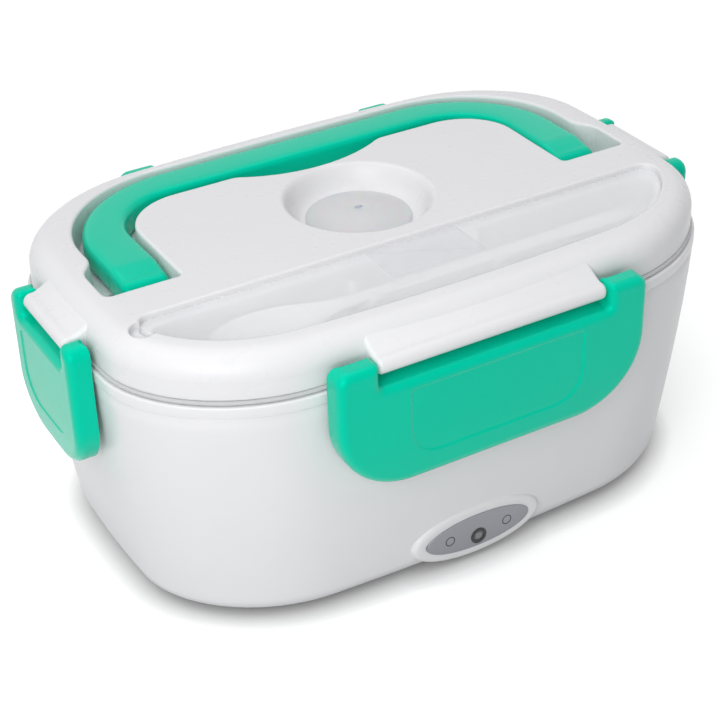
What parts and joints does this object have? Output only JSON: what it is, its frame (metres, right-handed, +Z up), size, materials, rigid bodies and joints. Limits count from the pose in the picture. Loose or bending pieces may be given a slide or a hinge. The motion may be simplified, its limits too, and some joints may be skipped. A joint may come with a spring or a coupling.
{
  "type": "electric lunch box",
  "caption": "Heated lunch box with a lift-out food tray, a lift-off latched lid, a folding carry handle, a steam vent plug and a clear spoon compartment.",
  "frame": {"origin": "middle of the footprint, on the surface that the feet stand on", "axes": "+X along the long side to the right, +Y to the back, +Z up; the front with the indicator lamp faces -Y"},
  "size_m": [0.2424, 0.1644, 0.107],
  "materials": {
    "white_shell": "semi-gloss moulded polypropylene",
    "white_liner": "semi-gloss moulded polypropylene",
    "white_lid": "glossy moulded polypropylene",
    "white_tray": "satin moulded polypropylene",
    "spoon_white": "glossy moulded plastic",
    "mint_plastic": "glossy moulded polypropylene",
    "grey_silicone": "soft silicone",
    "milky_silicone": "translucent silicone",
    "clear_plastic": "clear moulded plastic",
    "foot_rubber": "matt rubber",
    "indicator_grey": "silver-grey film",
    "lamp_lens": "diffuse lens",
    "black_plastic": "black moulded plastic",
    "heating_plate": "brushed",
    "ceramic_heater": "insulating film over ceramic",
    "bracket_steel": "pressed steel",
    "steel": "plated steel",
    "fuse": "glazed sleeve",
    "circuit_board": "solder mask",
    "contact_brass": "plain brass",
    "wire_sleeve": "PVC sleeve"
  },
  "bodies": {
    "base": {"outer_shell": "white_shell", "inner_liner": "white_liner", "bottom_cover": "white_shell", "cover_screws": "steel", "rubber_feet": "foot_rubber", "heating_plate": "heating_plate", "ptc_heater": "ceramic_heater", "heater_bracket": "bracket_steel", "bracket_screws": "steel", "thermostat": "black_plastic", "thermal_fuse": "fuse", "indicator_plate": "indicator_grey", "led_bezel": "black_plastic", "led_lamp": "lamp_lens", "led_board": "circuit_board", "power_inlet": "black_plastic", "inlet_pins": "contact_brass", "wiring": "wire_sleeve"},
    "tray": {"food_tray": "white_tray"},
    "cup": {"side_cup": "white_tray"},
    "cup_lid": {"side_cup_lid": "mint_plastic"},
    "lid": {"lid_cover": "white_lid", "lid_lining": "white_liner", "lid_gasket": "grey_silicone"},
    "vent": {"vent_plug": "milky_silicone"},
    "cover": {"spoon_cover": "clear_plastic"},
    "spoon_body": {"spoon": "spoon_white"},
    "handle": {"carry_handle": "mint_plastic"},
    "latch_front": {"front_latch": "mint_plastic"},
    "latch_back": {"back_latch": "mint_plastic"},
    "latch_left": {"left_latch": "mint_plastic"},
    "latch_right": {"right_latch": "mint_plastic"}
  },
  "joints": [
    {"name": "lid_lift", "type": "slide", "parent": "base", "child": "lid", "axis": [0, 0, 1], "range_m": [0, 0.16]},
    {"name": "tray_lift", "type": "slide", "parent": "base", "child": "tray", "axis": [0, 0, 1], "range_m": [0, 0.08]},
    {"name": "cup_lift", "type": "slide", "parent": "tray", "child": "cup", "axis": [0, 0, 1], "range_m": [0, 0.065]},
    {"name": "cup_lid_lift", "type": "slide", "parent": "cup", "child": "cup_lid", "axis": [0, 0, 1], "range_m": [0, 0.015]},
    {"name": "front_latch_hinge", "type": "hinge", "parent": "lid", "child": "latch_front", "pos_m": [0, -0.0774, 0.097], "axis": [-1, 0, 0], "range_deg": [-3, 125]},
    {"name": "back_latch_hinge", "type": "hinge", "parent": "lid", "child": "latch_back", "pos_m": [0, 0.0774, 0.097], "axis": [1, 0, 0], "range_deg": [-3, 125]},
    {"name": "left_latch_hinge", "type": "hinge", "parent": "lid", "child": "latch_left", "pos_m": [-0.1164, 0, 0.097], "axis": [0, 1, 0], "range_deg": [-3, 125]},
    {"name": "right_latch_hinge", "type": "hinge", "parent": "lid", "child": "latch_right", "pos_m": [0.1164, 0, 0.097], "axis": [0, -1, 0], "range_deg": [-3, 125]},
    {"name": "handle_swing", "type": "hinge", "parent": "lid", "child": "handle", "pos_m": [0, -0.0006, 0.098], "axis": [1, 0, 0], "range_deg": [0, 90]},
    {"name": "vent_plug_pull", "type": "slide", "parent": "lid", "child": "vent", "axis": [0, 0, 1], "range_m": [0, 0.012]},
    {"name": "spoon_cover_lift", "type": "slide", "parent": "lid", "child": "cover", "axis": [0, 0, 1], "range_m": [0, 0.04]},
    {"name": "spoon_lift", "type": "slide", "parent": "lid", "child": "spoon_body", "axis": [0, 0, 1], "range_m": [0, 0.02]}
  ],
  "couplings": [
    {"joint": "tray_lift", "follows": "lid_lift", "ratio": 0.5},
    {"joint": "cup_lift", "follows": "lid_lift", "ratio": 0.40625},
    {"joint": "cup_lid_lift", "follows": "lid_lift", "ratio": 0.09375},
    {"joint": "spoon_lift", "follows": "spoon_cover_lift", "ratio": 0.5}
  ]
}
